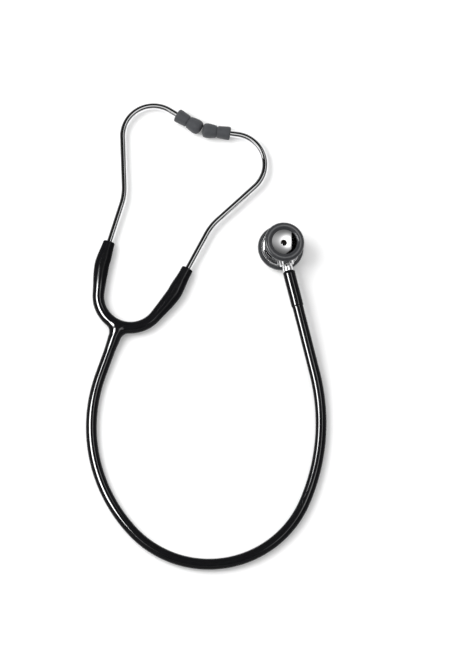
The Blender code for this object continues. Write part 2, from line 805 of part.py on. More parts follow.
def make_detent_spring():
    """Small coil that presses the ball into its dimple."""
    coil, wire = 0.58, 0.12
    low = DETENT_HEIGHT + BALL_RADIUS + 0.2
    turns, per_turn, around = 3, 8, 4
    pitch = 0.32
    rings = []
    for k in range(turns * per_turn + 1):
        angle = 2 * math.pi * k / per_turn
        outward = Vector((math.cos(angle), math.sin(angle), 0))
        middle = coil * outward + Vector((0, 0, low + pitch * k / per_turn))
        rings.append([
            middle + wire * (math.cos(a) * outward + math.sin(a) * Vector((0, 0, 1)))
            for a in (2 * math.pi * j / around for j in range(around))
        ])
    place = head_place() @ Matrix.Translation((0, DETENT_Y, 0))
    shape = ring_mesh(rings, wrapped=False)
    body = solid("detent_spring", shape, spring_steel("detent_spring_steel"), head_origin(), place)
    smooth(body, 80)
    return body


def centre_on_table():
    """Shifts every piece so that the origin is the bottom centre of the whole object's box."""
    bpy.context.view_layer.update()
    points = [item.matrix_world @ v.co for item in bpy.data.objects for v in item.data.vertices]
    low = Vector([min(p[k] for p in points) for k in range(3)])
    high = Vector([max(p[k] for p in points) for k in range(3)])
    shift = Vector(((low.x + high.x) / 2, (low.y + high.y) / 2, low.z))
    for item in bpy.data.objects:
        item.location -= shift


def build():
    clear_scene()
    make_y_tube()
    make_leaf_spring()
    for side in ("left", "right"):
        make_sleeve(side)
        make_spring_clip(side)
        make_ear_tube(side)
        make_eartip(side)
        make_tip_insert(side)
    for index in range(len(FLEX_AT)):
        make_tube(index)
    make_stem()
    make_oring()
    make_retaining_ring()
    make_chestpiece()
    make_bell_ring()
    make_diaphragm()
    make_rim()
    make_detent_ball()
    make_detent_spring()
    centre_on_table()


build()
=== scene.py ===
"""Looks of the dual-head stethoscope: fine skins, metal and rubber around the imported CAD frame."""
import json
import math

import bmesh
import bpy
import numpy as np
from mathutils import Matrix, Vector


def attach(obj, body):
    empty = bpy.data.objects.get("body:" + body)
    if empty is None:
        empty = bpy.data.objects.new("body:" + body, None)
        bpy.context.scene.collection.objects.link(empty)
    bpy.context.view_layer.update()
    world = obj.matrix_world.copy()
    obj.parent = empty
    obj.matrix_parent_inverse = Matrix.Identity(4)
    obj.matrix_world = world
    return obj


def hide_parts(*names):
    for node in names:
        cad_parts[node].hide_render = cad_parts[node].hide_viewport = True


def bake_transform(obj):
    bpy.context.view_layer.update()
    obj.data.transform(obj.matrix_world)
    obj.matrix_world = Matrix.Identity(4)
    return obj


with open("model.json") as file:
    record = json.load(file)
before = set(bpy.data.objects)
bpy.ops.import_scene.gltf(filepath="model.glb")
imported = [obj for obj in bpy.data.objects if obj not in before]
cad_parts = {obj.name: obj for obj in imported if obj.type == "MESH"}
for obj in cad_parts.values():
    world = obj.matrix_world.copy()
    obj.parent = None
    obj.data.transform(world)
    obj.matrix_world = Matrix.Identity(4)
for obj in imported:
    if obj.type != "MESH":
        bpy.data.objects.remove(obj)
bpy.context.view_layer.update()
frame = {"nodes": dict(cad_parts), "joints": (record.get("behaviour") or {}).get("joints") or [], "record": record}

MM = 0.001

# The CAD part's driving sizes, in millimetres. A path is a list of pieces: a straight one is
# (length, 0) and a bent one is (radius, turn in degrees).
ARM_ARC = 26.4
ARM_HINGE_TURN = 50.0
ARM_PIECES = [(ARM_ARC, 74.0), (21.9, 0.0), (25.0, 10.8)]
ARM_RADIUS = 4.85
ARM_BORE = 3.0
BULGE_RADIUS = 6.05
BULGE_SWELL = (30.0, 57.0)
BULGE_FALL = (61.0, 78.0)
SLEEVE_TOP = {"left": 77.6, "right": 81.9}
MOUTH_RADIUS = 4.85
EAR_OUTER = 2.85
EAR_BORE = 2.1
EAR_START = {"left": 59.6, "right": 62.4}
EAR_STRAIGHT = 52.4
EAR_REACH = {"left": -2.2, "right": 1.4}
EAR_LEAN = (45.0, -19.6)
EAR_MIDDLE = 41.2
EAR_BEND_RADIUS = 25.5
EAR_BEND_TURN = {"left": 123.6, "right": 130.0}
EAR_END = {"left": 6.9, "right": 6.2}
EAR_IN_TIP = 9.8
TUBE_START = (0.7, -0.5)
TUBE_HEADING = -87.0
TUBE_PIECES = [(43.0, 0.0), (129.0, 62.0), (85.0, 114.5), (168.0, 37.5), (86.6, 0.0)]
TUBE_RADIUS = 4.5
TUBE_BORE = 2.25
TUBE_HEIGHT = 4.5
NECK_RADIUS = 5.3
DROP_LENGTH = 55.0
RISE_START = 420.0
SOCKET_LENGTH = 29.5
SOCKET_RADIUS = 5.0
SOCKET_BORE = 3.4
FLEX_AT = [40.0, 140.0, 240.0, 340.0, 440.0]
HEAD_REACH = 22.5
STRIP_END = 65.5
STRIP_HALF_WIDTH = 2.0
STRIP_HALF_THICKNESS = 0.3
STRIP_TAPER = (53.0, 57.0)
STRIP_CROSSOVER = (55.0, 61.0)
STRIP_OFFSET = 1.6
STRIP_END_OFFSET = 3.45

# Spans of soft skin round a joint; only the first value of the neck and arm spans is used, to set where those
# skins start
TUBE_BLEND = 33.0          # each way along the chest tube
NECK_BLEND = (16.0, 66.0)
ARM_BLEND = (11.5, 42.0)

# The soft skins
SKIN_SIDES = 48
SKIN_STEP = 1.6
NECK_TAPER = (6.0, 24.0)
NECK_ROOT = 6.0            # from the arms' centreline, so that the neck never bulges inside the U
JUNCTION_FILLET = 6.0
JUNCTION_VOXEL = 0.45
JUNCTION_SIDES = 32
BELLY_DEPTH = 0.3          # extra swelling on the outer side of an arm
CREASE_DEPTH = 0.3         # hollow along its top
LIP_ROUNDING = 0.9
DULL_FROM = {"left": 34.0, "right": 26.0}
DULL_LENGTH = 14.0
DULL_MOST = {"left": 0.97, "right": 0.7}

JOINTS = {joint["name"]: joint for joint in frame["joints"]}


def joint_point(name):
    return Vector(JOINTS[name]["pos_m"]) / MM


def joint_axis(name):
    return Vector(JOINTS[name]["axis"]).normalized()


def junction():
    """Middle of the Y junction, from the two arm hinges."""
    middle = (joint_point("left_arm_spread") + joint_point("right_arm_spread")) / 2
    rise = ARM_ARC * (1 - math.cos(math.radians(ARM_HINGE_TURN)))
    return middle - Vector((0, rise, 0))


HUB = junction()


# Small mesh tools

def ease(value):
    value = min(max(value, 0.0), 1.0)
    return value * value * (3 - 2 * value)


def eased(value, span):
    """0 before the span, 1 after it and a smooth rise between."""
    return ease((value - span[0]) / (span[1] - span[0]))


def bump_of(value, middle, half):
    """1 at the middle, falling smoothly to 0 at middle - half and middle + half."""
    return ease(1 - abs(value - middle) / half)


def spread(start, end, step):
    count = max(1, math.ceil(abs(end - start) / step))
    return [start + (end - start) * k / count for k in range(count + 1)]


def make_object(name, verts, faces, smooth_angle=None):
    mesh = bpy.data.meshes.new(name)
    mesh.from_pydata([Vector(v) * MM for v in verts], [], faces)
    work = bmesh.new()
    work.from_mesh(mesh)
    bmesh.ops.recalc_face_normals(work, faces=work.faces)
    work.to_mesh(mesh)
    work.free()
    body = bpy.data.objects.new(name, mesh)
    bpy.context.scene.collection.objects.link(body)
    shade(body, smooth_angle)
    return body


def shade(body, angle):
    body.data.shade_smooth()
    if angle is not None:
        body.data.set_sharp_from_angle(angle=math.radians(angle))


def ring_mesh(rings, wrapped):
    sides = max(len(ring) for ring in rings)
    verts = [point for ring in rings for point in ring]
    starts = [0]
    for ring in rings:
        starts.append(starts[-1] + len(ring))
    faces = []
    total = len(rings)
    for index in range(total if wrapped else total - 1):
        after = (index + 1) % total
        for k in range(sides):
            a = starts[index] + k % len(rings[index])
            b = starts[index] + (k + 1) % len(rings[index])
            c = starts[after] + (k + 1) % len(rings[after])
            d = starts[after] + k % len(rings[after])
            faces.append(tuple(dict.fromkeys((a, b, c, d))))
    if not wrapped:
        for start, ring in ((starts[0], rings[0]), (starts[-2], rings[-1])):
            if len(ring) > 1:
                faces.append(tuple(range(start, start + len(ring))))
    return verts, faces


def lathe(profile, sides, wrapped, place):
    """Turns (radius, height) points about the z axis of place."""
    rings = []
    for radius, height in profile:
        if radius == 0:
            rings.append([place @ Vector((0, 0, height))])
            continue
        rings.append([
            place @ Vector((radius * math.cos(a), radius * math.sin(a), height))
            for a in (2 * math.pi * k / sides for k in range(sides))
        ])
    return ring_mesh(rings, wrapped)


def curve_through(points, steps):
    """Smooth run through profile points (Catmull-Rom), ends included."""
    padded = [points[0]] + list(points) + [points[-1]]
    run = []
    for i in range(1, len(padded) - 2):
        p0, p1, p2, p3 = (np.array(p, float) for p in padded[i - 1:i + 3])
        for k in range(steps):
            t = k / steps
            value = 0.5 * (2 * p1 + (p2 - p0) * t + (2 * p0 - 5 * p1 + 4 * p2 - p3) * t ** 2
                           + (3 * p1 - p0 - 3 * p2 + p3) * t ** 3)
            run.append((float(value[0]), float(value[1])))
    run.append(tuple(points[-1]))
    return run


def arc(centre, radius, start, end, steps):
    return [
        (centre[0] + radius * math.cos(a), centre[1] + radius * math.sin(a))
        for a in (math.radians(start + (end - start) * k / steps) for k in range(steps + 1))
    ]


def rounded(points, radius, steps):
    """Closed profile with every corner rounded."""
    result = []
    count = len(points)
    for i in range(count):
        before, corner, after = (np.array(points[(i + k) % count], float) for k in (-1, 0, 1))
        to_before = before - corner
        to_after = after - corner
        reach = min(radius, np.linalg.norm(to_before) / 2.2, np.linalg.norm(to_after) / 2.2)
        first = corner + to_before / np.linalg.norm(to_before) * reach
        last = corner + to_after / np.linalg.norm(to_after) * reach
        for k in range(steps + 1):
            t = k / steps
            point = (1 - t) ** 2 * first + 2 * t * (1 - t) * corner + t ** 2 * last
            result.append((float(point[0]), float(point[1])))
    return result


def combine(body, tool, operation):
    modifier = body.modifiers.new("combine", "BOOLEAN")
    modifier.operation = operation
    modifier.solver = "EXACT"
    modifier.object = tool
    apply_modifiers(body)
    bpy.data.objects.remove(tool, do_unlink=True)


def apply_modifiers(body):
    bpy.context.view_layer.update()
    graph = bpy.context.evaluated_depsgraph_get()
    mesh = bpy.data.meshes.new_from_object(body.evaluated_get(graph))
    body.modifiers.clear()
    body.data = mesh


# Paths, as in the CAD part

def bend_piece(size, turn):
    """Length and turn of a piece given by its length, or by its radius if it turns."""
    if turn == 0:
        return size, 0.0
    return size * math.radians(abs(turn)), turn


def walk(pieces, start, heading, distance):
    """Place and heading at a distance along a path; past its end it runs straight on."""
    x, y = start
    angle = math.radians(heading)
    left = distance
    for length, turn in pieces:
        step = min(left, length)
        bend = math.radians(turn) * step / length
        chord = step if abs(bend) < 1e-9 else step * math.sin(bend / 2) / (bend / 2)
        x += chord * math.cos(angle + bend / 2)
        y += chord * math.sin(angle + bend / 2)
        angle += bend
        left -= step
        if left <= 0:
            return x, y, angle
    return x + left * math.cos(angle), y + left * math.sin(angle), angle


def arm_pieces():
    return [bend_piece(*piece) for piece in ARM_PIECES]


def ear_pieces(side):
    pieces = [
        (EAR_STRAIGHT + EAR_REACH[side], 0.0),
        EAR_LEAN,
        (EAR_MIDDLE, 0.0),
        (EAR_BEND_RADIUS, EAR_BEND_TURN[side]),
        (EAR_END[side], 0.0),
    ]
    return arm_pieces() + [bend_piece(*piece) for piece in pieces]


def chest_pieces():
    return [bend_piece(*piece) for piece in TUBE_PIECES]


def path_length(pieces):
    return sum(length for length, _ in pieces)


CHEST_LENGTH = path_length(chest_pieces())
HEAD_CENTRE = joint_point("chestpiece_swivel")


def chest_height(distance):
    rise_end = CHEST_LENGTH - SOCKET_LENGTH
    drop = (HUB.z - TUBE_HEIGHT) * (1 - ease(distance / DROP_LENGTH))
    rise = (HEAD_CENTRE.z - TUBE_HEIGHT) * ease((distance - RISE_START) / (rise_end - RISE_START))
    return TUBE_HEIGHT + drop + rise


class Station:
    """A point on a centreline with its forward, left and up directions."""

    def __init__(self, x, y, z, heading, slope=0.0):
        self.point = Vector((x, y, z))
        self.forward = Vector((math.cos(heading), math.sin(heading), slope)).normalized()
        self.left = Vector((-math.sin(heading), math.cos(heading), 0.0))
        self.up = self.forward.cross(self.left)

    def at(self, left, up):
        return self.point + left * self.left + up * self.up

    def circle(self, radius, sides):
        return [
            self.at(radius * math.cos(a), radius * math.sin(a))
            for a in (2 * math.pi * k / sides for k in range(sides))
        ]


def mirrored(x, y, z, heading, side):
    """Station measured from the hub; the left side is the mirror image of the right."""
    if side == "left":
        x = -x
        heading = math.pi - heading
    return Station(HUB.x + x, HUB.y + y, z, heading)


def chest_station(distance):
    start = (HUB.x + TUBE_START[0], HUB.y + TUBE_START[1])
    x, y, heading = walk(chest_pieces(), start, TUBE_HEADING, distance)
    slope = chest_height(distance + 0.5) - chest_height(distance - 0.5)
    return Station(x, y, chest_height(distance), heading, slope)


def arm_station(distance, side):
    x, y, heading = walk(arm_pieces(), (0, 0), 0.0, distance)
    return mirrored(x, y, HUB.z, heading, side)


def ear_station(distance, side):
    x, y, heading = walk(ear_pieces(side), (0, 0), 0.0, distance)
    return mirrored(x, y, HUB.z, heading, side)


def hollow(name, station, outer, inner, sides):
    """Hollow swept piece; outer and inner are (distance, radius) lists, closed by end faces."""
    shell = [station(d).circle(r, sides) for d, r in outer]
    hole = [station(d).circle(r, sides) for d, r in reversed(inner)]
    return make_object(name, *ring_mesh(shell + hole, wrapped=True), smooth_angle=50)


# Materials

class Nodes:
    """Thin helper for building one material's node tree."""

    def __init__(self, name):
        self.material = bpy.data.materials.new(name)
        self.material.use_nodes = True
        self.tree = self.material.node_tree
        self.shader = self.tree.nodes["Principled BSDF"]
        self.position = self.add("ShaderNodeTexCoord").outputs["Object"]

    def add(self, kind, **inputs):
        node = self.tree.nodes.new(kind)
        for key, value in inputs.items():
            node.inputs[key.replace("_", " ")].default_value = value
        return node

    def link(self, source, target):
        self.tree.links.new(source, target)

    def noise(self, scale, detail=3.0, stretch=None):
        node = self.add("ShaderNodeTexNoise", Scale=scale, Detail=detail)
        if stretch is None:
            self.link(self.position, node.inputs["Vector"])
        else:
            mapping = self.add("ShaderNodeMapping", Scale=stretch)
            self.link(self.position, mapping.inputs["Vector"])
            self.link(mapping.outputs["Vector"], node.inputs["Vector"])
        return node.outputs["Fac"]

    def ramp(self, source, low, high, start=0.3, end=0.7):
        """Maps a 0..1 value to a range of numbers."""
        node = self.add("ShaderNodeMapRange")
        node.inputs["From Min"].default_value = start
        node.inputs["From Max"].default_value = end
        node.inputs["To Min"].default_value = low
        node.inputs["To Max"].default_value = high
        self.link(source, node.inputs["Value"])
        return node.outputs["Result"]

    def mix(self, factor, first, second):
        node = self.tree.nodes.new("ShaderNodeMix")
        node.data_type = "RGBA"
        node.inputs["A"].default_value = (*first, 1)
        node.inputs["B"].default_value = (*second, 1)
        self.link(factor, node.inputs["Factor"])
        return node.outputs["Result"]

    def math(self, operation, *values):
        node = self.add("ShaderNodeMath")
        node.operation = operation
        for slot, value in zip(node.inputs, values):
            self.link(value, slot)
        return node.outputs[0]

    def bump(self, layers):
        """Chains (height, distance, strength) bumps into the shader's normal."""
        previous = None
        for height, distance, strength in layers:
            node = self.add("ShaderNodeBump", Strength=strength, Distance=distance)
            self.link(height, node.inputs["Height"])
            if previous is not None:
                self.link(previous, node.inputs["Normal"])
            previous = node.outputs["Normal"]
        self.link(previous, self.shader.inputs["Normal"])


def pvc(name):
    """Glossy black PVC: faint cloudiness, finger marks, slight waviness, and dull where it is handled."""
    nodes = Nodes(name)
    cloudy = nodes.mix(nodes.noise(220.0), (0.0035, 0.0035, 0.004), (0.007, 0.007, 0.008))
    nodes.link(cloudy, nodes.shader.inputs["Base Color"])
    marks = nodes.ramp(nodes.noise(90.0, 5.0), 0.07, 0.12)
    worn = nodes.add("ShaderNodeAttribute")
    worn.attribute_name = "dull"
    dull = worn.outputs["Fac"]
    roughness = nodes.math("ADD", marks, nodes.ramp(dull, 0.0, 0.12, 0.0, 1.0))
    nodes.link(roughness, nodes.shader.inputs["Roughness"])
    facing = nodes.add("ShaderNodeLayerWeight", Blend=0.5).outputs["Facing"]
    rise = nodes.ramp(facing, 0.015, 0.9, 0.015, 0.026)
    fall = nodes.ramp(facing, 1.0, 0.03, 0.06, 0.16)
    gloss = nodes.math("MULTIPLY", nodes.math("MULTIPLY", rise, fall), nodes.ramp(dull, 1.0, 0.12, 0.0, 1.0))
    nodes.link(gloss, nodes.shader.inputs["Specular IOR Level"])
    nodes.shader.inputs["IOR"].default_value = 1.85
    nodes.bump([(nodes.noise(60.0, 2.0), 0.0003, 0.04), (nodes.noise(1600.0, 2.0), 0.00004, 0.08)])
    return nodes.material


def rubber(name, dark, light, rough, shine):
    """Satin moulded rubber with fine grain and paler rubbed patches."""
    nodes = Nodes(name)
    nodes.link(nodes.mix(nodes.noise(350.0, 4.0), dark, light), nodes.shader.inputs["Base Color"])
    nodes.link(nodes.ramp(nodes.noise(160.0), rough - 0.05, rough + 0.06), nodes.shader.inputs["Roughness"])
    nodes.shader.inputs["Specular IOR Level"].default_value = shine
    nodes.bump([(nodes.noise(2600.0, 3.0), 0.00006, 0.2), (nodes.noise(300.0), 0.0001, 0.06)])
    return nodes.material


def polished(name, rough):
    """Bright chrome with hairline marks and faint smears."""
    nodes = Nodes(name)
    tint = (0.93, 0.93, 0.94)
    shadow = tuple(0.94 * c for c in tint)
    nodes.link(nodes.mix(nodes.noise(120.0), shadow, tint), nodes.shader.inputs["Base Color"])
    nodes.shader.inputs["Metallic"].default_value = 1.0
    smears = nodes.noise(180.0, 6.0)
    nodes.link(nodes.ramp(smears, rough * 0.6, rough * 1.6), nodes.shader.inputs["Roughness"])
    hairlines = nodes.noise(2500.0, 2.0, stretch=(1.0, 1.0, 0.15))
    nodes.bump([(hairlines, 0.00001, 0.03)])
    return nodes.material


def spring_steel(name):
    """Bare drawn steel."""
    nodes = Nodes(name)
    tone = nodes.mix(nodes.noise(400.0), (0.4, 0.4, 0.42), (0.6, 0.6, 0.62))
    nodes.link(tone, nodes.shader.inputs["Base Color"])
    nodes.shader.inputs["Metallic"].default_value = 1.0
    nodes.link(nodes.ramp(nodes.noise(900.0), 0.25, 0.4), nodes.shader.inputs["Roughness"])
    nodes.bump([(nodes.noise(3000.0, 2.0, stretch=(1, 1, 0.1)), 0.00002, 0.2)])
    return nodes.material


def matt(name, dark, light):
    """Plain matt surface with a fine grain: moulded plastic, and the painted shade inside the sound hole."""
    nodes = Nodes(name)
    rough = 0.4
    nodes.link(nodes.mix(nodes.noise(300.0), dark, light), nodes.shader.inputs["Base Color"])
    nodes.link(nodes.ramp(nodes.noise(700.0), rough - 0.08, rough + 0.08), nodes.shader.inputs["Roughness"])
    nodes.bump([(nodes.noise(2000.0), 0.00004, 0.15)])
    return nodes.material


def woven_sheet(name):
    """Diaphragm sheet: pale resin over a fine square glass weave."""
    nodes = Nodes(name)
    waves = []
    for direction in ("X", "Y"):
        wave = nodes.add("ShaderNodeTexWave", Scale=900.0, Distortion=0.4)
        wave.bands_direction = direction
        nodes.link(nodes.position, wave.inputs["Vector"])
        waves.append(wave.outputs["Fac"])
    weave = nodes.math("MULTIPLY", *waves)
    nodes.link(nodes.mix(weave, (0.62, 0.61, 0.57), (0.76, 0.75, 0.71)), nodes.shader.inputs["Base Color"])
    nodes.link(nodes.ramp(nodes.noise(300.0), 0.25, 0.4), nodes.shader.inputs["Roughness"])
    nodes.bump([(weave, 0.00004, 0.3)])
    return nodes.material


def dress(body, material):
    body.data.materials.clear()
    body.data.materials.append(material)
    return body


# Soft Y tube and chest tube

def bend_with_arm(body, side):
    start, end = (arm_station(distance, side).point * MM for distance in ARM_BLEND)
    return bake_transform(body)


def neck_radius(distance):
    return TUBE_RADIUS + (NECK_RADIUS - TUBE_RADIUS) * (1 - eased(distance, NECK_TAPER))


def smooth_least(a, b, width):
    """Smooth minimum of two distance arrays, for a filleted join."""
    h = np.clip(width - np.abs(a - b), 0, None) / width
    return np.minimum(a, b) - h * h * width / 4


def junction_field(points):
    """Signed distance (mm) to the filleted Y junction, for an array of points measured from the hub."""
    plan = points[:, :2]
    away = np.hypot(plan[:, 0], plan[:, 1] - ARM_ARC) - ARM_ARC
    arms = np.hypot(away, points[:, 2]) - ARM_RADIUS
    heading = math.radians(TUBE_HEADING)
    forward = np.array([math.cos(heading), math.sin(heading)])
    from_start = plan - np.array(TUBE_START)
    travel = from_start @ forward
    along = np.clip(travel, NECK_ROOT, None)
    heights = np.array([chest_height(d) for d in along]) - HUB.z
    across = from_start @ np.array([-forward[1], forward[0]])
    radii = np.array([neck_radius(d) for d in along])
    neck = np.sqrt(across ** 2 + (points[:, 2] - heights) ** 2 + (travel - along) ** 2) - radii
    return smooth_least(arms, neck, JUNCTION_FILLET)


def settle_on_field(mesh, field, rounds):
    """Moves every vertex onto the zero surface of a distance field measured from the hub."""
    count = len(mesh.vertices)
    co = np.zeros(count * 3)
    mesh.vertices.foreach_get("co", co)
    points = co.reshape(-1, 3) / MM - np.array(HUB)
    nudge = 0.02
    for _ in range(rounds):
        value = field(points)
        slope = np.stack([
            (field(points + step) - field(points - step)) / (2 * nudge)
            for step in np.eye(3) * nudge
        ], axis=1)
        points -= value[:, None] * slope / np.maximum((slope ** 2).sum(1), 0.2)[:, None]
    mesh.vertices.foreach_set("co", ((points + np.array(HUB)) * MM).ravel())
    mesh.update()


def cut_off(body, station):
    """Cuts the body flat at a station and closes the cut."""
    work = bmesh.new()
    work.from_mesh(body.data)
    everything = work.verts[:] + work.edges[:] + work.faces[:]
    cut = bmesh.ops.bisect_plane(
        work, geom=everything, plane_co=station.point * MM, plane_no=station.forward, clear_outer=True
    )
    edges = [item for item in cut["geom_cut"] if isinstance(item, bmesh.types.BMEdge)]
    bmesh.ops.contextual_create(work, geom=edges)
    work.to_mesh(body.data)
    work.free()


def make_junction_skin(material):
    """The filleted middle of the Y: two short arms and the neck, drawn as one smooth surface."""
    reach = ARM_BLEND[0]
    spare = 3.0
    arms = []
    for side, stops in (("left", spread(reach + spare, 0, 2)), ("right", spread(0, reach + spare, 2)[1:])):
        for d in stops:
            station = arm_station(d, side)
            flip = -1 if side == "left" else 1
            arms.append([
                station.at(flip * ARM_RADIUS * math.cos(a), ARM_RADIUS * math.sin(a))
                for a in (2 * math.pi * k / JUNCTION_SIDES for k in range(JUNCTION_SIDES))
            ])
    body = make_object("y_skin", *ring_mesh(arms, wrapped=False))
    neck_stops = spread(0, NECK_BLEND[0] + spare, 3)
    neck = [chest_station(d).circle(neck_radius(d), JUNCTION_SIDES) for d in neck_stops]
    combine(body, make_object("neck", *ring_mesh(neck, wrapped=False)), "UNION")
    remesh = body.modifiers.new("remesh", "REMESH")
    remesh.mode = "VOXEL"
    remesh.voxel_size = JUNCTION_VOXEL * MM
    apply_modifiers(body)
    settle_on_field(body.data, junction_field, 6)
    for station in (arm_station(reach, "left"), arm_station(reach, "right"), chest_station(NECK_BLEND[0])):
        cut_off(body, station)
    shade(body, 50)
    dress(body, material)
    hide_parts("y_tube")
    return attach(body, "y_tube")


def arm_radius(distance, angle, side):
    """Arm surface: swollen over the clip, with a shallow hollow where the strip leaves the middle."""
    radius = ARM_RADIUS + (BULGE_RADIUS - ARM_RADIUS) * eased(distance, BULGE_SWELL)
    radius += (MOUTH_RADIUS - BULGE_RADIUS) * eased(distance, BULGE_FALL)
    outward = -math.cos(angle) if side == "right" else math.cos(angle)
    belly = bump_of(distance, 48, 16) * outward * BELLY_DEPTH
    from_top = math.degrees(angle) - 90
    crease = math.exp(-((from_top - 5) / 16) ** 2) * bump_of(distance, 60, 12)
    return radius + belly - CREASE_DEPTH * crease


def make_arm_skin(side, material):
    """One arm from the junction to its mouth."""
    rings = []
    lip = LIP_ROUNDING
    top = SLEEVE_TOP[side]
    plain_end = BULGE_SWELL[0]
    for d in spread(ARM_BLEND[0], plain_end, 1.5) + spread(plain_end, top - lip, 1.0)[1:]:
        station = arm_station(d, side)
        ring = []
        for k in range(SKIN_SIDES):
            angle = 2 * math.pi * k / SKIN_SIDES
            radius = arm_radius(d, angle, side)
            ring.append(station.at(radius * math.cos(angle), radius * math.sin(angle)))
        rings.append(ring)
    mouth = [(top - lip + y, MOUTH_RADIUS - lip + x) for x, y in arc((0, 0), lip, 0, 90, 5)[1:]]
    bore = [(top - 0.2, EAR_OUTER + 0.15), (67.0, EAR_OUTER + 0.15), (66.6, 4.4), (60, 4.4), (54, ARM_BORE)]
    bore += [(d, ARM_BORE) for d in spread(50, ARM_BLEND[0], 3)]
    for d, radius in mouth + bore:
        rings.append(arm_station(d, side).circle(radius, SKIN_SIDES))
    body = make_object(f"{side}_arm_skin", *ring_mesh(rings, wrapped=True), smooth_angle=50)
    add_dullness(body, side)
    dress(body, material)
    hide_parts(f"{side}_sleeve")
    return bend_with_arm(body, side)


def add_dullness(body, side):
    """Vertex attribute that grows along an arm: the upper half has lost its gloss to handling."""
    start = arm_station(DULL_FROM[side], side)
    layer = body.data.attributes.new("dull", "FLOAT", "POINT")
    for vertex in body.data.vertices:
        travel = (vertex.co / MM - start.point).dot(start.forward)
        layer.data[vertex.index].value = ease(travel / DULL_LENGTH) * DULL_MOST[side]


def make_tube_skin(index, material):
    """Chest tube skin round one flexing joint, from the middle of one CAD length to the next."""
    joint = FLEX_AT[index]
    first = NECK_BLEND[0] if index == 0 else (FLEX_AT[index - 1] + joint) / 2
    if index == len(FLEX_AT) - 1:
        shoulder = CHEST_LENGTH - SOCKET_LENGTH
        outer = [(d, TUBE_RADIUS) for d in spread(first, shoulder - 0.6, SKIN_STEP)]
        outer += [(shoulder - 0.25, 4.62), (shoulder, SOCKET_RADIUS - 0.12), (shoulder + 0.4, SOCKET_RADIUS)]
        outer += [(d, SOCKET_RADIUS) for d in spread(shoulder + 0.4, CHEST_LENGTH - 0.5, 2)[1:]]
        outer += [(CHEST_LENGTH - 0.15, SOCKET_RADIUS - 0.15), (CHEST_LENGTH, SOCKET_RADIUS - 0.5)]
        inner = [(d, TUBE_BORE) for d in spread(first, shoulder - 0.6, 6)]
        inner += [(shoulder, SOCKET_BORE), (CHEST_LENGTH, SOCKET_BORE)]
    else:
        final = (joint + FLEX_AT[index + 1]) / 2
        outer = [(d, neck_radius(d)) for d in spread(first, final, SKIN_STEP)]
        inner = [(d, TUBE_BORE) for d in spread(first, final, 6)]
    body = hollow(f"tube_skin_{index + 1}", chest_station, outer, inner, SKIN_SIDES)
    dress(body, material)
    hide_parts(f"tube_{index + 1}")
    low, high = NECK_BLEND if index == 0 else (joint - TUBE_BLEND, joint + TUBE_BLEND)
    start = chest_station(low).point * MM
    end = chest_station(high).point * MM
    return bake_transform(body)


def make_strip_half(side, material):
    """Half of the leaf spring, inside the arm that hides it."""
    rings = []
    inward = 1 if side == "right" else -1
    for d in spread(0, STRIP_END, 1.7):
        station = arm_station(d, side)
        middle = STRIP_OFFSET + (STRIP_END_OFFSET - STRIP_OFFSET) * eased(d, STRIP_CROSSOVER)
        high = STRIP_HALF_WIDTH - eased(d, STRIP_TAPER)
        near, far = middle - STRIP_HALF_THICKNESS, middle + STRIP_HALF_THICKNESS
        corners = rounded([(near, -high), (far, -high), (far, high), (near, high)], 0.2, 2)
        rings.append([station.at(inward * across, up) for across, up in corners])
    body = make_object(f"{side}_strip", *ring_mesh(rings, wrapped=False), smooth_angle=30)
    dress(body, material)
    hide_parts("leaf_spring")
    return bend_with_arm(body, side)


# Headset metal and eartips

def make_ear_tube(side, material):
    """Bent tube from inside the arm into the eartip, with both outer edges eased."""
    end = path_length(ear_pieces(side)) + EAR_IN_TIP
    start = EAR_START[side]
    stops = spread(start, end - 0.5, 1.2)
    outer = [(start, EAR_OUTER - 0.3), (start + 0.15, EAR_OUTER)] + [(d, EAR_OUTER) for d in stops[1:]]
    outer += [(end - 0.15, EAR_OUTER - 0.1), (end, EAR_OUTER - 0.4)]
    inner = [(d, EAR_BORE) for d in spread(start, end, 3.6)]
    body = hollow(f"{side}_ear_pipe", lambda d: ear_station(d, side), outer, inner, SKIN_SIDES)
    dress(body, material)
    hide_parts(f"{side}_ear_tube")
    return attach(body, f"{side}_ear_tube")


def axis_place(point, direction, across):
    """Matrix with z along direction and x as near across as it can be."""
    z = direction.normalized()
    y = z.cross(across).normalized()
    x = y.cross(z)
    return Matrix.Translation(point) @ Matrix((x, y, z)).transposed().to_4x4()


def make_eartip(side, material):
    """Collar with a slow flare, a narrow groove, and a dome with a soft-edged sound hole."""
    name = f"{side}_eartip_twist"
    place = axis_place(joint_point(name), joint_axis(name), Vector((0, 0, 1)))
    hole = 1.75
    collar = curve_through([(5.6, 1.9), (5.58, 2.6), (5.45, 4.4), (5.2, 7.6), (5.05, 9.2)], 4)
    dome = curve_through([(5.05, 12.1), (5.32, 13.2), (5.75, 15.6), (6.02, 17.8), (6.1, 19.3), (5.85, 20.9),
                          (5.1, 22.2), (3.9, 23.0), (2.8, 23.3)], 5)
    profile = [(EAR_OUTER + 0.2, 0.25), (EAR_OUTER + 0.45, 0.0)]
    profile += [(3.9, 0.0)] + arc((4.1, 1.5), 1.5, -82, -8, 7)
    profile += collar + arc((4.2, 9.8), 0.85, 8, 80, 5)
    profile += [(4.28, 10.75), (4.25, 11.1), (4.28, 11.45), (4.6, 11.55)] + dome
    profile += arc((2.35, 22.8), 0.55, 80, 180, 5) + [(hole, 21.5), (hole, 12.4), (3.2, 10.6), (4.3, 10.1)]
    profile += [(4.3, 0.9), (EAR_OUTER + 0.2, 0.8)]
    body = make_object(f"{side}_eartip_soft", *lathe(profile, 72, True, place), smooth_angle=40)
    dress(body, material)
    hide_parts(f"{side}_eartip")
    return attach(body, f"{side}_eartip")


# Chestpiece

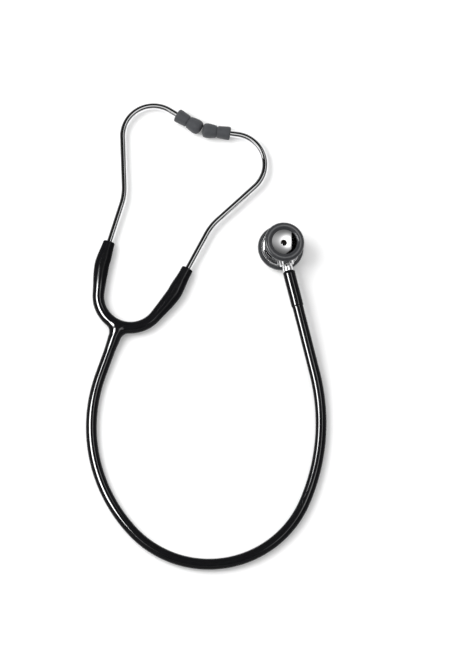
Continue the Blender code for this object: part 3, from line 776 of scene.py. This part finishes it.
HEAD_SIDES = 144
DISH_FLOOR = 10.6
DISH_CURVE = 35.0
HOLE_RADIUS = 2.4
HOLE_TOP = 10.5
DETENT_Y = -4.0
SHEET_BOTTOM = -8.3
SHEET_TOP = -7.95


def head_place():
    """The chestpiece's own frame: z towards the bell, y along the stem into the head."""
    into_head = joint_axis("chestpiece_swivel")
    mounts = {mount["name"]: mount for mount in frame["record"]["mounts"]}
    up = -Vector(mounts["diaphragm_face"]["axis"]).normalized()
    across = into_head.cross(up).normalized()
    up = across.cross(into_head)
    turn = Matrix((across, into_head, up)).transposed().to_4x4()
    return Matrix.Translation(HEAD_CENTRE) @ turn


def stem_place():
    """The same frame turned so that z runs along the stem, for parts lathed about it."""
    return head_place() @ Matrix.Rotation(-math.pi / 2, 4, "X")


def rounded_rod(half_width, half_height, start, end, edge, sides):
    """Flattened round rod along y with the edge at its start rounded over."""
    steps = 5
    rings = []
    for k in range(steps + 1):
        turn = math.radians(90 * k / steps)
        shrink = edge * (1 - math.sin(turn))
        y = start + edge * (1 - math.cos(turn))
        rings.append((half_width - shrink, half_height - shrink, y))
    rings.append((half_width, half_height, end))
    place = head_place()
    return ring_mesh([
        [place @ Vector((w * math.cos(a), y, h * math.sin(a)))
         for a in (2 * math.pi * k / sides for k in range(sides))]
        for w, h, y in rings
    ], wrapped=False)


def make_lathed(name, profile, wrapped, smooth_angle):
    """A soft or thin piece turned about the head's axis."""
    return make_object(name, *lathe(profile, HEAD_SIDES, wrapped, head_place()), smooth_angle=smooth_angle)


def make_head(material):
    """Polished head: bell dish with its hole, flared waist, boss, and the back of the diaphragm cup."""
    dish = [(r, DISH_FLOOR + r ** 2 / (2 * DISH_CURVE)) for r in spread(2.75, 10.75, 0.5)]
    flare = curve_through([(12.3, 11.35), (10.5, 9.4), (8.7, 6.9), (7.4, 4.0), (6.95, 1.2), (7.35, -1.3),
                           (9.1, -3.6), (12.4, -4.85), (15.2, -5.35)], 6)
    bead = arc((15.85, -5.62), 0.42, 160, 10, 6)
    hole = [(0, 4.6), (2.25, 4.6), (HOLE_RADIUS, 4.75), (HOLE_RADIUS, HOLE_TOP), (2.52, 10.67)]
    profile = hole + dish
    profile += arc((11.1, 12.5), 0.3, 160, 90, 4) + arc((13.2, 12.4), 0.4, 90, 0, 4) + [(13.6, 11.65)]
    profile += arc((13.35, 11.65), 0.25, 0, -90, 3) + flare + bead
    profile += [(16.9, -5.72)] + arc((17.2, -6.05), 0.3, 80, 0, 3)
    profile += [(17.5, -7.4), (17.3, -7.6), (15.9, -7.6), (15.5, -7.0), (3.0, -5.9), (0, -5.9)]
    place = head_place()
    body = make_object("head_metal", *lathe(profile, HEAD_SIDES, False, place))
    boss = make_object("boss", *rounded_rod(6.1, 4.7, -17.0, 0.0, 0.7, 72))
    combine(body, boss, "UNION")
    bore = [(0, -18), (3.8, -18), (3.8, -17.0), (3.2, -16.5), (3.2, -14.4), (3.95, -14.4), (3.95, -13.0)]
    bore += [(3.2, -13.0), (3.2, 5.0), (0, 5.0)]
    combine(body, make_object("bore", *lathe(bore, 48, False, stem_place())), "DIFFERENCE")
    channel = [(0, -7), (1.3, -7), (1.3, 6), (0, 6)]
    combine(body, make_object("channel", *lathe(channel, 32, False, place)), "DIFFERENCE")
    pocket = [(0, 2.6), (1.1, 2.6), (1.1, 5.6), (0, 5.6)]
    shifted = place @ Matrix.Translation((0, DETENT_Y, 0))
    combine(body, make_object("pocket", *lathe(pocket, 24, False, shifted)), "DIFFERENCE")
    shade(body, 32)
    dress(body, material)
    paint_hole_shade(body, place)
    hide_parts("chestpiece")
    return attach(body, "chestpiece")


def paint_hole_shade(body, place):
    """The bored wall and floor of the sound hole are coloured dark brown and matt: painted shade in the deep,
    narrow hole.
    """
    # Dark brown matt on the sound hole's faces: painted shade in the recess.
    body.data.materials.append(matt("hole_painted_shade", (0.035, 0.026, 0.02), (0.055, 0.042, 0.032)))
    inward = place.inverted()
    for face in body.data.polygons:
        middle = inward @ (face.center / MM)
        inside = math.hypot(middle.x, middle.y) < HOLE_RADIUS + 0.01
        if inside and 4.0 < middle.z < HOLE_TOP + 0.05:
            face.material_index = 1


def make_bell_ring(material):
    """Wide rounded ring, clipped over the lip of the bell."""
    crown = curve_through([(16.1, 11.2), (16.5, 12.4), (16.3, 13.6), (15.4, 14.6), (14.0, 15.05),
                           (12.6, 14.95), (11.4, 14.45), (10.6, 13.8), (10.35, 13.4)], 5)
    profile = crown + [(10.38, 13.2), (10.6, 13.1), (13.9, 13.1), (13.95, 11.3), (12.8, 10.95)]
    profile += arc((13.2, 10.7), 0.4, 150, 270, 4) + [(14.4, 10.32), (15.3, 10.5)]
    body = make_lathed("bell_ring_soft", profile, True, 45)
    dress(body, material)
    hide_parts("bell_ring")
    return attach(body, "chestpiece")


def make_rim(material):
    """Soft rim rolled round the edge of the cup, holding the diaphragm."""
    outside = curve_through([(16.3, -9.05), (17.7, -9.1), (18.55, -8.6), (18.87, -7.7), (18.9, -6.9),
                             (18.7, -6.0), (18.15, -5.25), (17.4, -4.95), (16.85, -4.95), (16.55, -5.1)], 5)
    profile = outside + [(16.52, -5.28), (17.8, -5.6), (17.8, -8.6), (16.15, -8.65), (16.1, -8.85)]
    body = make_lathed("rim_soft", profile, True, 45)
    dress(body, material)
    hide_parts("diaphragm_rim")
    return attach(body, "chestpiece")


def make_diaphragm(material):
    """Thin sheet with one pressed ring near its edge."""
    pressed = [(r, 0.12 * bump_of(r, 13.2, 1.0)) for r in spread(11.8, 14.6, 0.25)]
    profile = [(0, SHEET_BOTTOM)] + [(r, SHEET_BOTTOM + depth) for r, depth in pressed]
    profile += [(17.1, SHEET_BOTTOM), (17.2, -8.2), (17.2, -8.0), (17.1, SHEET_TOP)]
    profile += [(r, SHEET_TOP + depth) for r, depth in reversed(pressed)] + [(0, SHEET_TOP)]
    body = make_lathed("diaphragm_sheet", profile, False, 30)
    dress(body, material)
    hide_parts("diaphragm")
    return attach(body, "chestpiece")


def make_stem(material):
    """Turned stem: barbed tail, shouldered shank, grooved journal with the sound port."""
    tail = -HEAD_REACH - SOCKET_LENGTH + 1.0
    journal = 2.9
    profile = [(0, 1.6), (1.3, 1.6), (1.3, tail), (2.25, tail)]
    for k in range(2):
        foot = tail + 1.0 + 4.5 * k
        profile += [(2.75, foot), (2.95, foot + 3.0), (2.75, foot + 3.3)]
    profile += [(2.75, -25.0), (2.95, -24.0), (2.95, -22.75), (3.7, -22.2)]
    profile += arc((3.85, -21.8), 0.4, -70, 0, 3) + [(4.25, -18.9), (4.05, -18.7), (4.05, -18.3)]
    profile += [(4.25, -18.1), (4.25, -17.7), (4.0, -17.3), (journal, -17.3)]
    for start, end, floor in ((-14.4, -13.0, 2.3), (-9.6, -8.3, 2.0), (-5.0, -3.0, 2.4)):
        profile += [(journal, start), (floor, start), (floor, end), (journal, end)]
    profile += [(journal, 3.6), (2.6, 4.0), (0, 4.0)]
    body = make_object("stem_metal", *lathe(profile, 64, False, stem_place()))
    port = [(0, -4.5), (1.0, -4.5), (1.0, 0.0), (0, 0.0)]
    combine(body, make_object("port", *lathe(port, 24, False, head_place())), "DIFFERENCE")
    shade(body, 30)
    dress(body, material)
    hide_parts("stem")
    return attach(body, "tube_5")


def dress_hidden_nodes(steel):
    """Procedural finishes on the small CAD pieces that are kept as they are."""
    nodes = frame["nodes"]
    bush = matt("bush_plastic", (0.5, 0.5, 0.47), (0.62, 0.62, 0.59))
    seal = rubber("seal_rubber", (0.01, 0.01, 0.01), (0.02, 0.02, 0.02), 0.5, 0.5)
    chosen = {"stem_o_ring": seal, "left_eartip_insert": bush, "right_eartip_insert": bush}
    chosen |= dict.fromkeys(("left_spring_clip", "right_spring_clip", "stem_retaining_ring"), steel)
    chosen |= dict.fromkeys(("detent_ball", "detent_spring"), steel)
    for name, material in chosen.items():
        nodes[name].data.materials.clear()
        nodes[name].data.materials.append(material)


# Studio

VIEW_AZIMUTH = 22.8
VIEW_ELEVATION = 78.0
CAMERA_DISTANCE = 12000.0
FRAME_HEIGHT = 536.5      # millimetres seen along the long side of the frame
AIM_RIGHT = 87.75         # from the hub to the middle of the frame
AIM_UP = -1.53
AMBIENT = 0.9             # even light that everything but mirrors gets
KEY_AT = (-900.0, 350.0, 1150.0)          # right, up and height from the middle of the frame
KEY_SIDE = 1.0            # metres
KEY_POWER = 18.0
HEAD_LAMP_HEIGHT = 260.0
HEAD_LAMP_SPAN = ((-150, 340), (-90, 420))        # right and up from the head
HEAD_LAMP_REACH = 23.0    # rays that start further than this from the head's centre pass through
STREAK_LAMP_HEIGHT = 700.0
STREAK_LAMP_SPAN = ((-735, -315), (-320, 225))    # right and up from the hub
STREAK_STRENGTH = 11.0
STREAK_IN_CHROME = 1.2    # the same lamp seen in bright chrome, which it would flood
CUP_MIDDLE = -5.5         # along the head's axis
CUP_REACH = 21.0
EAR_TUBES_MIDDLE = Vector((-70, 125, 6))
EAR_TUBES_REACH = 80.0
FLOOR_HALF = 4.0          # metres


def view_axes():
    """Right and up on the table as the camera sees them."""
    a = math.radians(VIEW_AZIMUTH)
    return Vector((math.cos(a), math.sin(a), 0)), Vector((-math.sin(a), math.cos(a), 0))


def aim_point():
    right, up = view_axes()
    return HUB + AIM_RIGHT * right + AIM_UP * up


def make_camera():
    data = bpy.data.cameras.new("camera")
    camera = bpy.data.objects.new("camera", data)
    bpy.context.scene.collection.objects.link(camera)
    right, up = view_axes()
    e = math.radians(VIEW_ELEVATION)
    target = aim_point()
    back = -up * math.cos(e) + Vector((0, 0, math.sin(e)))
    camera.location = (target + back * CAMERA_DISTANCE) * MM
    forward = -back
    true_up = right.cross(forward)
    camera.rotation_euler = Matrix((right, true_up, back)).transposed().to_euler()
    data.sensor_width = 36.0
    data.lens = data.sensor_width * CAMERA_DISTANCE / FRAME_HEIGHT
    data.clip_end = 40.0
    bpy.context.scene.camera = camera


def make_key_light():
    """Softbox at the upper left, aimed at the middle of the frame; mirrors don't show it."""
    right, up = view_axes()
    data = bpy.data.lights.new("key", "AREA")
    data.shape = "RECTANGLE"
    data.size = KEY_SIDE
    data.size_y = KEY_SIDE
    data.energy = KEY_POWER
    light = bpy.data.objects.new("key", data)
    bpy.context.scene.collection.objects.link(light)
    target = aim_point()
    light.location = (target + KEY_AT[0] * right + KEY_AT[1] * up + Vector((0, 0, KEY_AT[2]))) * MM
    back = (light.location / MM - target).normalized()
    across = up.cross(back).normalized()
    light.rotation_euler = Matrix((across, back.cross(across), back)).transposed().to_euler()
    light.visible_glossy = False


class Sky:
    """Light that mirrors show: panels given by their angles from straight up."""

    def __init__(self, tree, outward):
        self.tree = tree
        right, up = view_axes()
        self.height = self.dot(outward, Vector((0, 0, 1)))
        self.across = self.angle(self.dot(outward, right))
        self.ahead = self.angle(self.dot(outward, up))
        self.total = None

    def math(self, operation, *values):
        node = self.tree.nodes.new("ShaderNodeMath")
        node.operation = operation
        for slot, value in zip(node.inputs, values):
            if isinstance(value, (int, float)):
                slot.default_value = value
            else:
                self.tree.links.new(value, slot)
        return node.outputs[0]

    def dot(self, vector, direction):
        node = self.tree.nodes.new("ShaderNodeVectorMath")
        node.operation = "DOT_PRODUCT"
        self.tree.links.new(vector, node.inputs[0])
        node.inputs[1].default_value = direction
        return node.outputs["Value"]

    def angle(self, sideways):
        """Degrees away from straight up, in one direction."""
        radians = self.math("ARCTAN2", sideways, self.height)
        return self.math("MULTIPLY", radians, 180 / math.pi)

    def step(self, value, edge, soft):
        """0 below the edge and 1 above it, with a soft change."""
        node = self.tree.nodes.new("ShaderNodeMapRange")
        node.interpolation_type = "SMOOTHSTEP"
        node.inputs["From Min"].default_value = edge - soft
        node.inputs["From Max"].default_value = edge + soft
        self.tree.links.new(value, node.inputs["Value"])
        return node.outputs["Result"]

    def band(self, value, low, high, soft):
        return self.math("SUBTRACT", self.step(value, low, soft), self.step(value, high, soft))

    def panel(self, across, ahead, strength, soft):
        """Evenly lit panel between two angles each way, with a softness for each direction."""
        sideways = self.band(self.across, *across, soft[0])
        forwards = self.band(self.ahead, *ahead, soft[1])
        self.add(self.math("MULTIPLY", self.math("MULTIPLY", sideways, forwards), strength))

    def bell_curve(self, value, middle, width):
        offset = self.math("DIVIDE", self.math("SUBTRACT", value, middle), width)
        squared = self.math("MULTIPLY", offset, offset)
        return self.math("EXPONENT", self.math("MULTIPLY", squared, -1.0))

    def spot(self, across, ahead, strength):
        """Soft round patch; each direction is a middle and a width."""
        sideways = self.bell_curve(self.across, *across)
        forwards = self.bell_curve(self.ahead, *ahead)
        return self.math("MULTIPLY", self.math("MULTIPLY", sideways, forwards), strength)

    def hot_panel(self):
        """Lamp behind cloth on the right: hot in the middle, with a straight near edge and a cut corner."""
        hot = self.spot((10.0, 13.0), (13.5, 13.0), 3.2)
        wide = self.spot((25.0, 40.0), (15.0, 28.0), 0.5)
        light = self.math("ADD", hot, wide)
        near_edge = self.step(self.across, -1.5, 0.7)
        slanted = self.math("SUBTRACT", self.math("MULTIPLY", self.across, 0.78), self.ahead)
        cut_corner = self.step(slanted, -35.7, 1.0)
        self.add(self.math("MULTIPLY", light, self.math("MULTIPLY", near_edge, cut_corner)))

    def add(self, value):
        self.total = value if self.total is None else self.math("ADD", self.total, value)


def make_world():
    """White surroundings for plain light; mirrors see two panels and a brighter horizon on black."""
    world = bpy.data.worlds.new("studio")
    bpy.context.scene.world = world
    world.use_nodes = True
    tree = world.node_tree
    sky = Sky(tree, tree.nodes.new("ShaderNodeTexCoord").outputs["Generated"])
    sky.panel((25, 34), (-2, 30), 1.1, soft=(1.0, 6.0))
    sky.panel((-30, 30), (-24, 5), 0.75, soft=(6.0, 2.0))
    from_zenith = sky.math("MULTIPLY", sky.math("ARCCOSINE", sky.height), 180 / math.pi)
    sky.add(sky.math("MULTIPLY", sky.step(from_zenith, 70.0, 18.0), 0.4))
    sky.add(0.012)
    paths = tree.nodes.new("ShaderNodeLightPath")
    mix = tree.nodes.new("ShaderNodeMix")
    tree.links.new(paths.outputs["Is Glossy Ray"], mix.inputs["Factor"])
    mix.inputs["A"].default_value = AMBIENT
    tree.links.new(sky.total, mix.inputs["B"])
    background = tree.nodes["Background"]
    background.inputs["Color"].default_value = (1.0, 1.0, 1.0, 1.0)
    tree.links.new(mix.outputs["Result"], background.inputs["Strength"])


def lamp_sheet(name, centre, span):
    """Level glowing sheet that only mirrors see; returns its node tree and emission node."""
    right, up = view_axes()
    (low, high), (near, far) = span
    corners = [(low, far), (high, far), (high, near), (low, near)]
    mesh = bpy.data.meshes.new(name)
    mesh.from_pydata([(centre + x * right + y * up) * MM for x, y in corners], [], [(0, 1, 2, 3)])
    sheet = bpy.data.objects.new(name, mesh)
    bpy.context.scene.collection.objects.link(sheet)
    material = bpy.data.materials.new(f"{name}_cloth")
    material.use_nodes = True
    tree = material.node_tree
    tree.nodes.clear()
    glow = tree.nodes.new("ShaderNodeEmission")
    output = tree.nodes.new("ShaderNodeOutputMaterial")
    tree.links.new(glow.outputs[0], output.inputs["Surface"])
    mesh.materials.append(material)
    for ray in ("camera", "diffuse", "shadow", "transmission", "volume_scatter"):
        setattr(sheet, f"visible_{ray}", False)
    return tree, glow


def vector_math(tree, operation, *values):
    """Result of a vector node; a measured distance is a plain number."""
    node = tree.nodes.new("ShaderNodeVectorMath")
    node.operation = operation
    for slot, value in zip(node.inputs, values):
        if isinstance(value, Vector):
            slot.default_value = value
        else:
            tree.links.new(value, slot)
    return node.outputs["Value"] if operation == "DISTANCE" else node.outputs["Vector"]


def lamp_sky(tree, centre, reach):
    """Sky seen along the arriving ray, and 1 where that ray starts within reach of the centre, else 0."""
    geometry = tree.nodes.new("ShaderNodeNewGeometry")
    ray = tree.nodes.new("ShaderNodeLightPath")
    back = vector_math(tree, "SCALE", geometry.outputs["Incoming"])
    tree.links.new(ray.outputs["Ray Length"], back.node.inputs["Scale"])
    source = vector_math(tree, "ADD", geometry.outputs["Position"], back)
    away = vector_math(tree, "DISTANCE", source, centre * MM)
    cloth = Sky(tree, vector_math(tree, "SUBTRACT", geometry.outputs["Position"], source))
    return cloth, cloth.math("LESS_THAN", away, reach * MM)


def make_head_lamp():
    """Cloth-covered lamp above the head. It shows only in the head itself, like a lamp close over it."""
    centre = HEAD_CENTRE + Vector((0, 0, HEAD_LAMP_HEIGHT))
    tree, glow = lamp_sheet("head_lamp", centre, HEAD_LAMP_SPAN)
    cloth, near = lamp_sky(tree, HEAD_CENTRE, HEAD_LAMP_REACH)
    cloth.hot_panel()
    tree.links.new(cloth.total, glow.inputs["Strength"])
    clear = tree.nodes.new("ShaderNodeBsdfTransparent")
    choice = tree.nodes.new("ShaderNodeMixShader")
    tree.links.new(near, choice.inputs[0])
    tree.links.new(clear.outputs[0], choice.inputs[1])
    tree.links.new(glow.outputs[0], choice.inputs[2])
    tree.links.new(choice.outputs[0], tree.nodes["Material Output"].inputs["Surface"])


def make_streak_lamp():
    """Bright sheet high on the left that draws the long streak on the black tubes; chrome shows it dimmed."""
    centre = Vector((HUB.x, HUB.y, STREAK_LAMP_HEIGHT))
    tree, glow = lamp_sheet("streak_lamp", centre, STREAK_LAMP_SPAN)
    cloth, in_cup = lamp_sky(tree, head_place() @ Vector((0, 0, CUP_MIDDLE)), CUP_REACH)
    in_ear_tubes = lamp_sky(tree, EAR_TUBES_MIDDLE, EAR_TUBES_REACH)[1]
    near = cloth.math("MAXIMUM", in_cup, in_ear_tubes)
    shaded = cloth.math("MULTIPLY", near, STREAK_IN_CHROME - STREAK_STRENGTH)
    tree.links.new(cloth.math("ADD", shaded, STREAK_STRENGTH), glow.inputs["Strength"])


def make_floor():
    mesh = bpy.data.meshes.new("floor")
    corners = [(FLOOR_HALF * x, FLOOR_HALF * y, 0) for x, y in ((-1, -1), (1, -1), (1, 1), (-1, 1))]
    mesh.from_pydata(corners, [], [(0, 1, 2, 3)])
    floor = bpy.data.objects.new("floor", mesh)
    bpy.context.scene.collection.objects.link(floor)
    nodes = Nodes("pale_floor")
    paint = nodes.mix(nodes.noise(3.0), (0.93, 0.93, 0.93), (0.95, 0.95, 0.95))
    nodes.link(paint, nodes.shader.inputs["Base Color"])
    nodes.link(nodes.ramp(nodes.noise(40.0), 0.28, 0.34), nodes.shader.inputs["Roughness"])
    nodes.shader.inputs["Specular IOR Level"].default_value = 0.2
    floor.data.materials.append(nodes.material)


def make_studio():
    make_world()
    make_head_lamp()
    make_streak_lamp()
    make_floor()
    make_key_light()
    bpy.context.scene.view_settings.view_transform = "Standard"


def main():
    black = pvc("black_pvc")
    tip_grey = rubber("eartip_grey", (0.046, 0.048, 0.053), (0.062, 0.064, 0.069), 0.5, 0.3)
    ring_grey = rubber("ring_grey", (0.024, 0.025, 0.028), (0.034, 0.035, 0.038), 0.22, 0.65)
    head_chrome = polished("head_chrome", 0.045)
    ear_chrome = polished("ear_tube_chrome", 0.04)
    steel = spring_steel("spring_steel")
    make_junction_skin(black)
    for side in ("left", "right"):
        make_arm_skin(side, black)
        make_strip_half(side, steel)
        make_ear_tube(side, ear_chrome)
        make_eartip(side, tip_grey)
    for index in range(len(FLEX_AT)):
        make_tube_skin(index, black)
    make_head(head_chrome)
    make_bell_ring(ring_grey)
    make_rim(ring_grey)
    make_diaphragm(woven_sheet("diaphragm_weave"))
    make_stem(head_chrome)
    dress_hidden_nodes(steel)
    make_camera()
    make_studio()


main()
